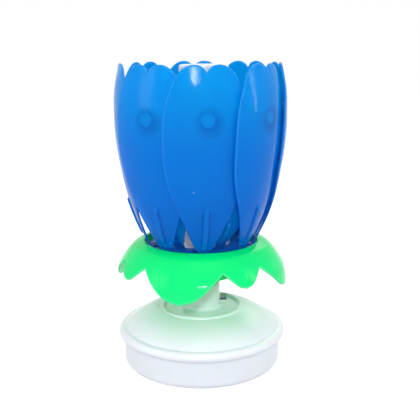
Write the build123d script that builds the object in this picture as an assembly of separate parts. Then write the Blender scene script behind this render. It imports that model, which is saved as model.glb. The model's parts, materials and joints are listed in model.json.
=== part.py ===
from build123d import *
import os
from math import atan2, cos, degrees, hypot, pi, radians, sin

# Rotating double-layer lotus birthday candle, closed as sold. Millimetres.
# +Z is up, the origin is the centre of the base's underside and the front is -Y.
# A compass angle runs from the front towards +X.

# Outer petals
outer_petal_count = 8
outer_first_angle = 4.85
outer_tip_height = 124.7
outer_hinge_radius = 22.9
outer_hinge_height = 54.3
outer_belly_radius = 34.0
outer_width_share = 0.48
outer_foot_half_width = 3.4
outer_lobe_half_spacing = 4.6
outer_notch_depth = 3.4
outer_yaw = 4.0
outer_drift_angles = {8: 4.8}
outer_socket_height = 105.0

# Inner petals
inner_petal_count = 6
inner_first_angle = 28.0
inner_tip_height = 97.3
inner_hinge_radius = 17.5
inner_hinge_height = 55.3
layer_gap = 5.0
inner_width_share = 0.462
inner_foot_half_width = 3.0
inner_lobe_half_spacing = 4.2
inner_notch_depth = 3.0
inner_yaw = 0.0
inner_drift_angles = {}
inner_socket_height = 86.0

# Both kinds of petal: the middle of the wall as shares of height and bulge,
# then the outline as shares of height and of the half width
outer_profile_shares = [(0.0, 0.0), (0.11, 0.297), (0.25, 0.594), (0.40, 0.80),
                        (0.56, 0.955), (0.71, 1.0), (0.86, 0.955), (1.0, 0.775)]
outer_outline_shares = [(0.185, 0.56), (0.37, 0.87), (0.62, 1.0), (0.82, 0.90), (0.94, 0.70)]
inner_profile_shares = [(0.0, 0.0), (0.10, 0.25), (0.25, 0.52), (0.42, 0.77),
                        (0.62, 0.94), (0.82, 1.0), (1.0, 0.98)]
inner_outline_shares = [(0.23, 0.56), (0.48, 0.87), (0.72, 1.0), (0.90, 0.84)]
petal_wall = 0.8
petal_foot_round = 0.45
hinge_gap = 0.3
rib_width = 2.0
rib_height = 0.7
rib_start_share = 0.035
rib_end_share = 0.24

# Small candles in their sockets, their wicks ending just short of the fountain's cap
candle_radius = 2.5
candle_fit = 0.05
socket_wall = 0.6
socket_length = 4.0
wax_taper = 0.4
wick_radius = 0.4
wick_length = 4.0
wick_clearance = 2.0

# Petal rings, the middles of the two petal mouldings
ring_thickness = 1.0
ring_bore_gap = 0.2
tongue_thickness = 0.8
tongue_inset = 0.9
outer_ring_radius = 18.0
inner_ring_radius = 15.5

# Hub
plate_radius = 23.0
plate_bottom = 48.2
plate_thickness = 1.5
boss_radius = 12.2
stem_top_radius = 8.0
stem_bottom_radius = 6.4
stem_bottom = 35.5

# Calyx
calyx_wall = 1.0
calyx_crest_height = 52.9
calyx_crest_radius = 24.3
calyx_tip_radius = 35.6
calyx_tip_height = 35.3
small_sepal_tip_height = 40.6
notch_height = 46.8
sepal_pairs = 4
large_sepal_angle = -14.4
small_sepal_angle = 30.5
large_sepal_half_width = 15.7
small_sepal_half_width = 8.5
calyx_profile_shares = [(0.0, 0.0), (0.28, 0.075), (0.52, 0.22), (0.73, 0.41), (0.89, 0.60),
                        (0.97, 0.82), (1.0, 1.06)]
large_sepal_shares = [(0.0, 0.0), (0.44, 0.205), (0.73, 0.56), (1.0, 1.0)]
small_sepal_shares = [(0.0, 0.0), (0.38, 0.18), (0.64, 0.50), (1.0, 1.0)]
calyx_fit = 0.3
drum_radius = 14.5
drum_bottom = 38.0
drum_wall = 1.2
collar_thickness = 1.5
collar_width = 2.6

# Fountain and its clear cap
fountain_radius = 5.0
fountain_top = 112.0
fountain_fit = 0.1
socket_depth = 3.5
fuse_radius = 0.7
fuse_length = 6.0
cap_radius = 9.9
cap_wall = 0.6
cap_top = 124.0
cap_shift = 1.6

# Base cup
cup_radius = 32.8
cup_height = 12.5
cup_wall = 1.6
cup_floor = 1.8
cup_corner = 2.5

# Base cover with the neck
flange_radius = 34.95
flange_middle = 13.6
crease_radius = 31.8
crease_height = 15.7
dome_middle_radius = 24.6
dome_middle_height = 21.1
lip_radius = 17.4
lip_height = 24.2
lip_width = 2.2
well_depth = 0.8
cover_wall = 1.6
spigot_depth = 2.5
spigot_wall = 1.4
case_fit = 0.15
neck_radius = 7.7
neck_top = 35.0
neck_round = 1.5
neck_foot_round = 1.0
sound_slot_width = 4.6
sound_slot_length = 6.6
sound_slot_x = 8.65
sound_slot_y = 9.6

# Spindle, bushes and clip
spindle_radius = 2.5
spindle_bottom = 14.8
spindle_top = 45.8
running_gap = 0.05
press_gap = 0.02
bush_wall = 1.6
bush_length = 4.0
clip_radius = 3.6
clip_thickness = 0.6
washer_radius = 5.5

# Gears
module_size = 0.5
output_teeth = 36
small_teeth = 12
large_teeth = 32
pinion_teeth = 8
mesh_slack = 0.12
addendum_share = 0.92
dedendum_share = 1.25
tip_thickness_share = 0.22
pitch_thickness_share = 0.44
root_thickness_share = 0.60
output_gear_bottom = 17.0
output_gear_width = 2.5
large_gear_bottom = 14.0
large_gear_width = 1.4
compound_angle = 240.0
motor_turn = 70.0
axle_radius = 0.8
axle_post_radius = 2.2
axle_top = 21.0

# Motor
motor_radius = 6.0
motor_bottom = 2.0
motor_height = 11.4
motor_boss_radius = 1.8
motor_boss_height = 0.4
motor_shaft_radius = 0.5
cradle_wall = 1.2
cradle_height = 5.0
motor_fit = 0.15

# Button cells, their bay and the door under them
cell_radius = 5.8
cell_height = 5.4
cell_count = 3
cell_gap = 0.05
cell_middle_y = -19.0
cell_middle_z = 8.2
contact_thickness = 0.5
contact_width = 7.0
contact_top = 14.4
bay_wall = 1.2
bay_top = 9.0
bay_slack = 0.3
door_thickness = 1.2
door_overlap = 1.0
door_fit = 0.15
door_rib_height = 1.6
door_rib_spacing = 6.0
door_rib_width = 1.0
ear_radius = 2.8
ear_offset = 13.2

# Screws
screw_circle = 26.2
screw_first_angle = 60.0
screw_count = 3
post_radius = 3.1
post_top = 10.0
head_radius = 1.9
head_height = 1.6
head_seat = 3.0
shank_radius = 0.8
shank_gap = 0.3
screw_length = 11.5
cover_post_radius = 2.4
door_head_radius = 1.5
door_head_height = 0.6
door_head_inset = 0.1
door_shank_radius = 0.7
door_screw_length = 6.0
drive_width = 0.5
drive_depth = 0.4

# Circuit board, chip, switch and buzzer
board_left = 9.0
board_width = 15.0
board_front = -7.0
board_length = 20.0
board_bottom = 6.0
board_thickness = 1.0
board_post_radius = 1.4
board_post_inset = 2.2
chip_radius = 3.0
chip_height = 1.3
chip_round_share = 0.8
switch_length = 8.0
switch_width = 3.6
switch_height = 2.6
knob_length = 2.6
knob_width = 1.8
knob_recess = 0.5
knob_gap = 0.2
knob_travel = 2.0
buzzer_radius = 8.5
buzzer_thickness = 0.6
buzzer_x = -19.3
buzzer_y = -1.2
buzzer_rest_height = 0.6
buzzer_rest_wall = 1.0

# Leads
lead_radius = 0.45
lead_bend = 2.0
lead_spacing = 2.4
lead_rise = 2.6

overrun = 1.0
full_turn = 360.0
half_turn = 180.0
quarter_turn = 90.0

os.makedirs("parts", exist_ok=True)


def compass(angle, radius):
    # the point at this compass angle and distance from the axis
    return radius * sin(radians(angle)), -radius * cos(radians(angle))


def disc(radius, low, high, x=0, y=0):
    # an upright cylinder between two heights
    return Pos(x, y, low) * Cylinder(radius, high - low, align=(Align.CENTER, Align.CENTER, Align.MIN))


def ring(outer, inner, low, high, x=0, y=0):
    # an upright tube between two heights, its bore cut right through
    return disc(outer, low, high, x, y) - disc(inner, low - overrun, high + overrun, x, y)


def block(length, width, low, high, x=0, y=0):
    # a box centred on x and y, between two heights
    box = Box(length, width, high - low, align=(Align.CENTER, Align.CENTER, Align.MIN))
    return Pos(x, y, low) * box


def revolved(face, arc=full_turn):
    # turns a face of (radius, height) points about the vertical axis
    return revolve(Plane.XZ * face, Axis.Z, revolution_arc=arc)


def offset_line(points, distance):
    # moves each point sideways by distance, to the right of the way the line runs
    moved = []
    last = len(points) - 1
    for i, (r, z) in enumerate(points):
        r0, z0 = points[max(i - 1, 0)]
        r1, z1 = points[min(i + 1, last)]
        run = hypot(r1 - r0, z1 - z0)
        moved.append((r + distance * (z1 - z0) / run, z - distance * (r1 - r0) / run))
    return moved


def wall_face(points, outside, inside):
    # the face between a line's two offsets, as a wall seen in section
    a = offset_line(points, outside)
    b = offset_line(points, inside)
    return make_face([Spline(*a), Line(a[-1], b[-1]), Spline(*b[::-1]), Line(b[0], a[0])])


def save(name, *solids):
    # one STEP file for each node, as one solid or a group of separate ones
    shape = solids[0] if len(solids) == 1 else Compound(children=list(solids))
    export_step(shape, f"parts/{name}.step")


class Petal:
    # one kind of petal, standing towards +X with its foot on its hinge line. The angles are evenly
    # spaced, apart from the petals that have drifted round by a few degrees.

    def __init__(self, kind, count, first, hinge_r, hinge_z, tip_z, belly, width_share, foot_half,
                 lobe_half, notch, yaw, drift_angles, profile_shares, outline_shares, socket_z):
        self.kind = kind
        self.angles = [first + i * full_turn / count + drift_angles.get(i + 1, 0) for i in range(count)]
        self.hinge_r = hinge_r
        self.hinge_z = hinge_z
        self.height = tip_z - hinge_z
        self.belly = belly
        self.half = belly * width_share
        self.foot_half = foot_half
        self.lobe_half = lobe_half
        self.notch = notch
        self.yaw = yaw
        self.outline_shares = outline_shares
        self.socket_z = socket_z
        bulge = belly - hinge_r
        self.middle = [(hinge_r + q * bulge, hinge_z + h * self.height) for h, q in profile_shares]
        self.tilt = atan2(self.middle[1][0] - hinge_r, self.middle[1][1] - hinge_z)

    def place(self, angle):
        # turns the petal to its compass angle, after a slight yaw about its own belly line
        yawed = Pos(self.belly, 0, 0) * Rot(0, 0, self.yaw) * Pos(-self.belly, 0, 0)
        return Rot(0, 0, angle - quarter_turn) * yawed

    def wall_radius(self, z):
        # the middle of the wall at a height, between the points of the profile
        for (r0, z0), (r1, z1) in zip(self.middle, self.middle[1:]):
            if z0 <= z <= z1:
                return r0 + (r1 - r0) * (z - z0) / (z1 - z0)
        return self.belly

    def outline(self):
        # the petal seen from outside: narrow foot, round belly and two lobes with a notch
        low = self.hinge_z
        tip = low + self.height
        side = [(self.foot_half, low)]
        side += [(w * self.half, low + h * self.height) for h, w in self.outline_shares]
        lobe = (self.lobe_half, tip)
        notch = (0, tip - self.notch)
        start = (side[1][0] - side[0][0], side[1][1] - side[0][1])
        right = Spline(*side, lobe, tangents=[start, (-1, 0)])
        dip = Spline(lobe, notch, tangents=[(-1, 0), (-self.lobe_half, -self.notch - self.lobe_half)])
        edges = [right, dip, mirror(right, Plane.YZ), mirror(dip, Plane.YZ),
                 Line((-self.foot_half, low), (self.foot_half, low))]
        return make_face(edges)

    def solid(self):
        half_wall = petal_wall / 2
        sweep = full_turn / 4
        shell = Rot(0, 0, -sweep / 2) * revolved(wall_face(self.middle, half_wall, -half_wall), sweep)
        reach = self.belly + overrun
        body = shell & extrude(Plane.YZ * self.outline(), amount=reach)
        round_foot = Cylinder(petal_foot_round, 2 * self.foot_half, rotation=(quarter_turn, 0, 0))
        body += Pos(self.hinge_r, 0, self.hinge_z) * round_foot
        body += self.rib()
        socket_radius = candle_radius + candle_fit + socket_wall
        seat = self.wall_radius(self.socket_z)
        tube = Cylinder(socket_radius, socket_length + half_wall, rotation=(0, -quarter_turn, 0),
                        align=(Align.CENTER, Align.CENTER, Align.MIN))
        bore = Cylinder(candle_radius + candle_fit, socket_length + overrun, rotation=(0, -quarter_turn, 0),
                        align=(Align.CENTER, Align.CENTER, Align.MIN))
        body += Pos(seat, 0, self.socket_z) * tube
        body -= Pos(seat - half_wall, 0, self.socket_z) * bore
        return body

    def rib(self):
        # a raised rib up the outside of the stalk, running out into the blade
        start = self.hinge_z + rib_start_share * self.height
        end = self.hinge_z + rib_end_share * self.height
        heights = [start + (end - start) * i / 4 for i in range(5)]
        low = [(self.wall_radius(z), z) for z in heights]
        high = offset_line(low, petal_wall / 2 + rib_height)
        high[0] = offset_line(low, petal_wall / 2)[0]
        high[-1] = offset_line(low, petal_wall / 2)[-1]
        face = make_face(Polyline(*low, *high[::-1], close=True))
        return extrude(Plane.XZ * face, amount=rib_width / 2, both=True)

    def candle(self):
        # a small wax candle lying inwards from its socket, with its wick
        foot = self.wall_radius(self.socket_z) - petal_wall / 2 - candle_fit
        length = foot - wick_length - cap_radius - cap_shift - wick_clearance
        wax = disc(candle_radius, 0, length)
        wax = chamfer(wax.edges().sort_by(Axis.Z)[-1], wax_taper)
        wick = disc(wick_radius, length, length + wick_length)
        lay = Pos(foot, 0, self.socket_z) * Rot(0, -quarter_turn, 0)
        return lay * wax, lay * wick

    def tongue(self, ring_middle):
        # the short upright stub of the ring that the petal's foot folds on, and the spoke under it
        along = (sin(self.tilt), cos(self.tilt))
        back = petal_foot_round + hinge_gap
        top = (self.hinge_r - back * along[0], self.hinge_z - back * along[1])
        drop = (top[1] - ring_middle) / along[1]
        foot = (top[0] - drop * along[0], ring_middle)
        side = (along[1] * tongue_thickness / 2, -along[0] * tongue_thickness / 2)
        corners = [(foot[0] + side[0], foot[1] + side[1]), (top[0] + side[0], top[1] + side[1]),
                   (top[0] - side[0], top[1] - side[1]), (foot[0] - side[0], foot[1] - side[1])]
        face = make_face(Polyline(*corners, close=True))
        half_width = self.foot_half - tongue_inset
        stub = extrude(Plane.XZ * face, amount=half_width, both=True)
        spoke_low = ring_middle - ring_thickness / 2
        return stub + block(foot[0], 2 * half_width, spoke_low, spoke_low + ring_thickness, foot[0] / 2)


outer = Petal("outer", outer_petal_count, outer_first_angle, outer_hinge_radius, outer_hinge_height,
              outer_tip_height, outer_belly_radius, outer_width_share, outer_foot_half_width,
              outer_lobe_half_spacing, outer_notch_depth, outer_yaw, outer_drift_angles,
              outer_profile_shares, outer_outline_shares, outer_socket_height)
inner = Petal("inner", inner_petal_count, inner_first_angle, inner_hinge_radius, inner_hinge_height,
              inner_tip_height, outer_belly_radius - layer_gap, inner_width_share,
              inner_foot_half_width, inner_lobe_half_spacing, inner_notch_depth, inner_yaw,
              inner_drift_angles, inner_profile_shares, inner_outline_shares, inner_socket_height)


def make_petals(petal):
    body = petal.solid()
    wax, wick = petal.candle()
    for number, angle in enumerate(petal.angles, 1):
        place = petal.place(angle)
        save(f"{petal.kind}_petal_{number}", place * body)
        save(f"{petal.kind}_candle_{number}", place * wax, place * wick)


def make_petal_ring(petal, bottom, radius):
    # a flat ring round the hub's boss, with a spoke that ends in a tongue for each petal
    tongue = petal.tongue(bottom + ring_thickness / 2)
    body = disc(radius, bottom, bottom + ring_thickness)
    for angle in petal.angles:
        body += petal.place(angle) * tongue
    body -= disc(boss_radius + ring_bore_gap, bottom - overrun, bottom + ring_thickness + overrun)
    save(f"{petal.kind}_petal_ring", body)


plate_top = plate_bottom + plate_thickness
boss_top = plate_top + 2 * ring_thickness


def make_hub():
    socket_radius = fountain_radius + fountain_fit
    body = disc(plate_radius, plate_bottom, plate_top)
    body += disc(boss_radius, plate_bottom, boss_top)
    stem = make_face(Polyline((0, stem_bottom), (stem_bottom_radius, stem_bottom),
                              (stem_top_radius, plate_bottom), (0, plate_bottom), close=True))
    body += revolved(stem)
    body -= disc(socket_radius, boss_top - socket_depth, boss_top + overrun)
    body -= disc(spindle_radius + press_gap, stem_bottom - overrun, spindle_top + press_gap)
    save("hub", body)


def stem_radius(z):
    share = (z - stem_bottom) / (plate_bottom - stem_bottom)
    return stem_bottom_radius + share * (stem_top_radius - stem_bottom_radius)


calyx_floor_bottom = plate_bottom - calyx_wall


def sepal(angle, half_width, tip_height, shares):
    # everything behind one sepal's outline, as a bar that runs outwards at its compass angle
    drop = notch_height - tip_height
    side = [(half_width * w, tip_height + drop * h) for w, h in shares]
    top = calyx_crest_height + overrun
    right = Spline(*side, tangents=[(1, 0), (side[-1][0] - side[-2][0], side[-1][1] - side[-2][1])])
    edges = [right, mirror(right, Plane.YZ),
             Polyline((half_width, notch_height), (half_width, top), (-half_width, top),
                      (-half_width, notch_height))]
    bar = extrude(Plane.YZ * make_face(edges), amount=calyx_tip_radius + overrun)
    return Rot(0, 0, angle - quarter_turn) * bar


def make_calyx():
    # a drooping green skirt of eight sepals round a shallow cup that holds the hub's plate,
    # with a drum round the stem underneath
    bulge = calyx_tip_radius - calyx_crest_radius
    drop = calyx_crest_height - calyx_tip_height
    line = [(calyx_crest_radius + w * bulge, calyx_crest_height - h * drop)
            for w, h in calyx_profile_shares]
    skirt = revolved(wall_face(line, 0, calyx_wall))
    keep = disc(calyx_tip_radius + overrun, notch_height, calyx_crest_height + overrun)
    for i in range(sepal_pairs):
        turn = i * full_turn / sepal_pairs
        keep += sepal(large_sepal_angle + turn, large_sepal_half_width, calyx_tip_height, large_sepal_shares)
        keep += sepal(small_sepal_angle + turn, small_sepal_half_width, small_sepal_tip_height,
                      small_sepal_shares)
    body = skirt & keep
    bore = plate_radius + calyx_fit
    wall = ring(calyx_crest_radius, bore, calyx_floor_bottom, calyx_crest_height)
    floor = disc(calyx_crest_radius, calyx_floor_bottom, plate_bottom)
    body += wall + floor
    body += ring(drum_radius, drum_radius - drum_wall, drum_bottom, plate_bottom - calyx_wall / 2)
    stem_hole = stem_radius(calyx_floor_bottom) + calyx_fit
    body -= disc(stem_hole, calyx_floor_bottom - overrun, plate_bottom + overrun)
    save("calyx", body)
    collar_bottom = calyx_floor_bottom - collar_thickness
    collar = disc(stem_top_radius + collar_width, collar_bottom, calyx_floor_bottom)
    low = collar_bottom - overrun
    high = calyx_floor_bottom + overrun
    hole = make_face(Polyline((0, low), (stem_radius(low) + press_gap, low),
                              (stem_radius(high) + press_gap, high), (0, high), close=True))
    save("hub_collar", collar - revolved(hole))


def make_fountain():
    bottom = boss_top - socket_depth
    save("fountain_tube", disc(fountain_radius, bottom, fountain_top))
    save("fountain_fuse", disc(fuse_radius, fountain_top, fountain_top + fuse_length))
    cap = disc(cap_radius, boss_top, cap_top, cap_shift)
    cap -= disc(cap_radius - cap_wall, boss_top - overrun, cap_top - cap_wall, cap_shift)
    save("fountain_cap", cap)


bush_radius = spindle_radius + running_gap + bush_wall
well_height = lip_height - well_depth
cover_inner_radius = cup_radius - cup_wall - case_fit - spigot_wall
screw_places = [compass(screw_first_angle + i * full_turn / screw_count, screw_circle)
                for i in range(screw_count)]
output_radius = module_size * output_teeth / 2
small_radius = module_size * small_teeth / 2
large_radius = module_size * large_teeth / 2
pinion_radius = module_size * pinion_teeth / 2
compound_x, compound_y = compass(compound_angle, output_radius + small_radius + mesh_slack)
motor_direction = compound_angle - motor_turn
motor_dx, motor_dy = compass(motor_direction, large_radius + pinion_radius + mesh_slack)
motor_x = compound_x + motor_dx
motor_y = compound_y + motor_dy
cell_stack = cell_count * cell_height + (cell_count - 1) * cell_gap
bay_half_length = cell_stack / 2 + contact_thickness + bay_slack
bay_half_width = cell_radius + bay_slack
large_gear_top = large_gear_bottom + large_gear_width
output_gear_top = output_gear_bottom + output_gear_width
small_gear_top = output_gear_top + mesh_slack
board_top = board_bottom + board_thickness
board_x = board_left + board_width / 2
board_y = board_front + board_length / 2
buzzer_bottom = cup_floor + buzzer_rest_height
buzzer_top = buzzer_bottom + buzzer_thickness
contact_x = cell_stack / 2 + (bay_slack + contact_thickness) / 2


def make_cover():
    # the dome, its rolled flange, the sunk well round the neck and the neck itself
    bead_low = (flange_radius - well_depth / 2, cup_height)
    edges = [
        Polyline((0, cup_height), (0, neck_top), (neck_radius - neck_round, neck_top)),
        RadiusArc((neck_radius - neck_round, neck_top), (neck_radius, neck_top - neck_round), neck_round),
        Line((neck_radius, neck_top - neck_round), (neck_radius, well_height + neck_foot_round)),
        RadiusArc((neck_radius, well_height + neck_foot_round), (neck_radius + neck_foot_round, well_height),
                  -neck_foot_round),
        Line((neck_radius + neck_foot_round, well_height), (lip_radius - lip_width, well_height)),
        ThreePointArc((lip_radius - lip_width, well_height), (lip_radius - lip_width / 2, lip_height),
                      (lip_radius, well_height)),
        ThreePointArc((lip_radius, well_height), (dome_middle_radius, dome_middle_height),
                      (crease_radius, crease_height)),
        ThreePointArc((crease_radius, crease_height), (flange_radius, flange_middle), bead_low),
        Line(bead_low, (0, cup_height)),
    ]
    body = revolved(make_face(edges))
    body += disc(cup_radius - cup_wall - case_fit, cup_height - spigot_depth, cup_height)
    under_well = well_height - cover_wall
    hollow = [
        Polyline((0, cup_height - spigot_depth - overrun), (0, under_well),
                 (lip_radius - lip_width, under_well)),
        ThreePointArc((lip_radius - lip_width, under_well),
                      (dome_middle_radius - cover_wall, dome_middle_height - cover_wall),
                      (cover_inner_radius, crease_height - cover_wall)),
        Polyline((cover_inner_radius, crease_height - cover_wall),
                 (cover_inner_radius, cup_height - spigot_depth - overrun),
                 (0, cup_height - spigot_depth - overrun)),
    ]
    cavity = revolved(make_face(hollow))
    shell = body - cavity
    for x, y in screw_places:
        shell += disc(cover_post_radius, post_top, well_height - cover_wall, x, y) & body
    shell += disc(axle_post_radius, small_gear_top + mesh_slack, well_height, compound_x, compound_y)
    for x, y in screw_places:
        shell -= disc(shank_radius + running_gap, post_top - overrun, head_seat + screw_length + overrun,
                      x, y)
    shell -= disc(axle_radius + press_gap, small_gear_top, axle_top + press_gap, compound_x, compound_y)
    shell -= disc(bush_radius + press_gap, under_well - overrun, neck_top + overrun)
    slot = block(sound_slot_width, sound_slot_length, under_well - overrun, lip_height + overrun,
                 sound_slot_x, sound_slot_y)
    save("base_cover", shell - slot)


def make_cup():
    body = disc(cup_radius, 0, cup_height)
    body = fillet(body.edges().sort_by(Axis.Z)[0], cup_corner)
    body -= disc(cup_radius - cup_wall, cup_floor, cup_height + overrun)
    for x, y in screw_places:
        body += disc(post_radius, cup_floor / 2, post_top, x, y)
    body += disc(axle_post_radius, cup_floor / 2, large_gear_bottom - mesh_slack, compound_x, compound_y)
    cradle = motor_radius + motor_fit
    body += ring(cradle + cradle_wall, cradle, cup_floor / 2, cup_floor + cradle_height, motor_x, motor_y)
    body += ring(buzzer_radius, buzzer_radius - buzzer_rest_wall, cup_floor / 2, buzzer_bottom,
                 buzzer_x, buzzer_y)
    for x, y in board_posts():
        body += disc(board_post_radius, cup_floor / 2, board_bottom, x, y)
    outside_x = 2 * (bay_half_length + bay_wall)
    outside_y = 2 * (bay_half_width + bay_wall)
    bay = block(outside_x, outside_y, cup_floor / 2, bay_top, 0, cell_middle_y)
    bay -= block(2 * bay_half_length, 2 * bay_half_width, cup_floor, bay_top + overrun, 0, cell_middle_y)
    body += bay
    body += disc(ear_radius, cup_floor / 2, bay_top, ear_offset, cell_middle_y)
    body -= door_outline(0, -overrun, door_thickness + door_fit)
    body -= block(2 * (bay_half_length - door_overlap), 2 * (bay_half_width - door_overlap), -overrun,
                  cup_floor + overrun, 0, cell_middle_y)
    body -= disc(door_shank_radius + running_gap, -overrun, door_thickness + door_screw_length + overrun,
                 ear_offset, cell_middle_y)
    for x, y in screw_places:
        body -= disc(head_radius + shank_gap, -overrun, head_seat, x, y)
        body -= disc(shank_radius + shank_gap, -overrun, post_top + overrun, x, y)
    body -= disc(axle_radius + press_gap, cup_floor, large_gear_bottom, compound_x, compound_y)
    slot_length = knob_length + knob_travel + 2 * knob_gap
    body -= block(slot_length, knob_width + 2 * knob_gap, -overrun, cup_floor + overrun,
                  board_x + knob_travel / 2, board_y)
    save("base_cup", body)


def door_outline(shrink, low, high):
    # the battery door's plan: a rectangle with a round ear for its screw
    body = block(2 * (bay_half_length + door_overlap - shrink), 2 * (bay_half_width + door_overlap - shrink),
                 low, high, 0, cell_middle_y)
    return body + disc(ear_radius - shrink, low, high, ear_offset, cell_middle_y)


def make_door():
    body = door_outline(door_fit, 0, door_thickness)
    rib_length = 2 * (bay_half_length - door_overlap - door_fit)
    for side in (-1, 1):
        body += block(rib_length, door_rib_width, door_thickness, door_thickness + door_rib_height, 0,
                      cell_middle_y + side * door_rib_spacing / 2)
    body -= disc(door_head_radius + running_gap, -overrun, door_head_inset + door_head_height,
                 ear_offset, cell_middle_y)
    body -= disc(door_shank_radius + running_gap, -overrun, door_thickness + overrun, ear_offset,
                 cell_middle_y)
    save("battery_door", body)
    screw = disc(door_head_radius, door_head_inset, door_head_inset + door_head_height, ear_offset,
                 cell_middle_y)
    screw += disc(door_shank_radius, door_head_inset, door_thickness + door_screw_length, ear_offset,
                  cell_middle_y)
    save("door_screw", cross_drive(screw, door_head_radius, door_head_inset, ear_offset, cell_middle_y))


def cross_drive(screw, radius, face, x, y):
    # cuts a cross into the underside of a screw's head
    for turn in (0, quarter_turn):
        bar = Rot(0, 0, turn) * Box(radius, drive_width, 2 * drive_depth)
        screw -= Pos(x, y, face) * bar
    return screw


def make_case_screws():
    screws = []
    for x, y in screw_places:
        head = disc(head_radius, head_seat - head_height, head_seat, x, y)
        shank = disc(shank_radius, head_seat - head_height / 2, head_seat + screw_length, x, y)
        screws.append(cross_drive(head + shank, head_radius, head_seat - head_height, x, y))
    save("case_screws", *screws)


def make_spindle():
    save("spindle", disc(spindle_radius, spindle_bottom, spindle_top))
    bore = spindle_radius + running_gap
    under_well = well_height - cover_wall
    bushes = [ring(bush_radius, bore, z, z + bush_length) for z in (under_well, neck_top - bush_length)]
    save("spindle_bushes", *bushes)
    save("thrust_washer", ring(washer_radius, bore, neck_top, stem_bottom))
    clip_bottom = output_gear_bottom - clip_thickness
    save("retaining_clip", ring(clip_radius, spindle_radius + press_gap, clip_bottom, output_gear_bottom))


def toothed(teeth, phase, low, high, x=0, y=0):
    # a spur wheel with straight-sided teeth, the first one centred on the compass angle phase
    pitch_radius = module_size * teeth / 2
    radii = (pitch_radius - dedendum_share * module_size, pitch_radius,
             pitch_radius + addendum_share * module_size)
    widths = (root_thickness_share, pitch_thickness_share, tip_thickness_share)
    corners = []
    for tooth in range(teeth):
        middle = phase + tooth * full_turn / teeth
        for side in (-1, 1):
            steps = list(zip(radii, widths))
            for radius, width in steps if side < 0 else steps[::-1]:
                thick = pi * module_size * width / 2
                corners.append(compass(middle + side * degrees(thick / radius), radius))
    face = make_face(Polyline(*corners, close=True))
    return Pos(x, y, low) * extrude(face, amount=high - low, dir=(0, 0, 1))


def make_gears():
    output = toothed(output_teeth, compound_angle, output_gear_bottom, output_gear_top)
    output -= disc(spindle_radius + press_gap, output_gear_bottom - overrun, output_gear_top + overrun)
    save("output_gear", output)
    small_phase = compound_angle + half_turn + half_turn / small_teeth
    upper = toothed(small_teeth, small_phase, large_gear_bottom, small_gear_top, compound_x, compound_y)
    lower = toothed(large_teeth, motor_direction, large_gear_bottom, large_gear_top, compound_x, compound_y)
    bore = disc(axle_radius + running_gap, large_gear_bottom - overrun, small_gear_top + overrun,
                compound_x, compound_y)
    save("compound_gear", upper + lower - bore)
    save("gear_axle", disc(axle_radius, cup_floor, axle_top, compound_x, compound_y))
    pinion_phase = motor_direction + half_turn + half_turn / pinion_teeth
    pinion_bottom = large_gear_bottom - mesh_slack
    pinion_top = large_gear_top + mesh_slack
    pinion = toothed(pinion_teeth, pinion_phase, pinion_bottom, pinion_top, motor_x, motor_y)
    pinion -= disc(motor_shaft_radius + press_gap, pinion_bottom - overrun, pinion_top + overrun,
                   motor_x, motor_y)
    save("motor_pinion", pinion)
    save("motor_shaft", disc(motor_shaft_radius, motor_bottom + motor_height / 2, pinion_top,
                             motor_x, motor_y))


def make_motor():
    motor_top = motor_bottom + motor_height
    can = disc(motor_radius, motor_bottom, motor_top, motor_x, motor_y)
    can += disc(motor_boss_radius, motor_top, motor_top + motor_boss_height, motor_x, motor_y)
    can -= disc(motor_shaft_radius + running_gap, motor_bottom + motor_height / 2 - running_gap,
                motor_top + overrun, motor_x, motor_y)
    save("motor", can)


def make_cells():
    cells = []
    for i in range(cell_count):
        x = -cell_stack / 2 + i * (cell_height + cell_gap)
        cell = Cylinder(cell_radius, cell_height, rotation=(0, quarter_turn, 0),
                        align=(Align.CENTER, Align.CENTER, Align.MIN))
        cells.append(Pos(x, cell_middle_y, cell_middle_z) * cell)
    save("button_cells", *cells)
    strips = [block(contact_thickness, contact_width, cup_floor + door_fit, contact_top,
                    side * contact_x, cell_middle_y)
              for side in (-1, 1)]
    save("cell_contacts", *strips)


def board_posts():
    right = board_left + board_width
    back = board_front + board_length
    return [(board_left + board_post_inset, back - board_post_inset),
            (right - board_post_inset, board_front + board_post_inset)]


def make_board():
    save("circuit_board", block(board_width, board_length, board_bottom, board_top, board_x, board_y))
    blob = disc(chip_radius, board_top, board_top + chip_height, board_x, board_y)
    blob = fillet(blob.edges().sort_by(Axis.Z)[-1], chip_height * chip_round_share)
    save("melody_chip", blob)
    low = board_bottom - switch_height
    save("switch_body", block(switch_length, switch_width, low, board_bottom, board_x, board_y))
    save("switch_slider", block(knob_length, knob_width, knob_recess, low - running_gap, board_x, board_y))
    save("buzzer_disc", disc(buzzer_radius, buzzer_bottom, buzzer_top, buzzer_x, buzzer_y))


def lead(points):
    # a thin wire along straight runs joined by tangent arcs
    path = FilletPolyline(*points, radius=lead_bend)
    start = path ^ 0
    return sweep(start * Circle(lead_radius), path=path)


def make_leads():
    # two leads each from the board to the motor, the cells' contacts and the buzzer
    leads = []
    for side in (-1, 1):
        y = motor_y + side * lead_spacing / 2
        start = motor_x + motor_radius + running_gap
        low = motor_bottom + motor_height / 2
        run = board_left - start
        high = board_bottom + board_thickness / 2
        end_y = board_y + board_length / 2 - lead_spacing * (1 - side / 2)
        leads.append(lead([(start, y, low), (start + run / 3, y, low),
                           (board_left - run / 3, end_y, high), (board_left, end_y, high)]))
        x = side * contact_x
        rise = contact_top + lead_rise
        end = (board_x + side * lead_spacing, board_front + lead_spacing)
        leads.append(lead([(x, cell_middle_y, contact_top), (x, cell_middle_y, rise),
                           (*end, rise), (*end, board_top)]))
        rise = board_top + lead_rise
        start = (buzzer_x + buzzer_radius / 2, buzzer_y + side * lead_spacing / 2)
        end = (board_left + lead_spacing / 2, buzzer_y + side * lead_spacing / 2)
        leads.append(lead([(*start, buzzer_top), (*start, rise), (*end, rise), (*end, board_top)]))
    save("lead_wires", *leads)


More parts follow.
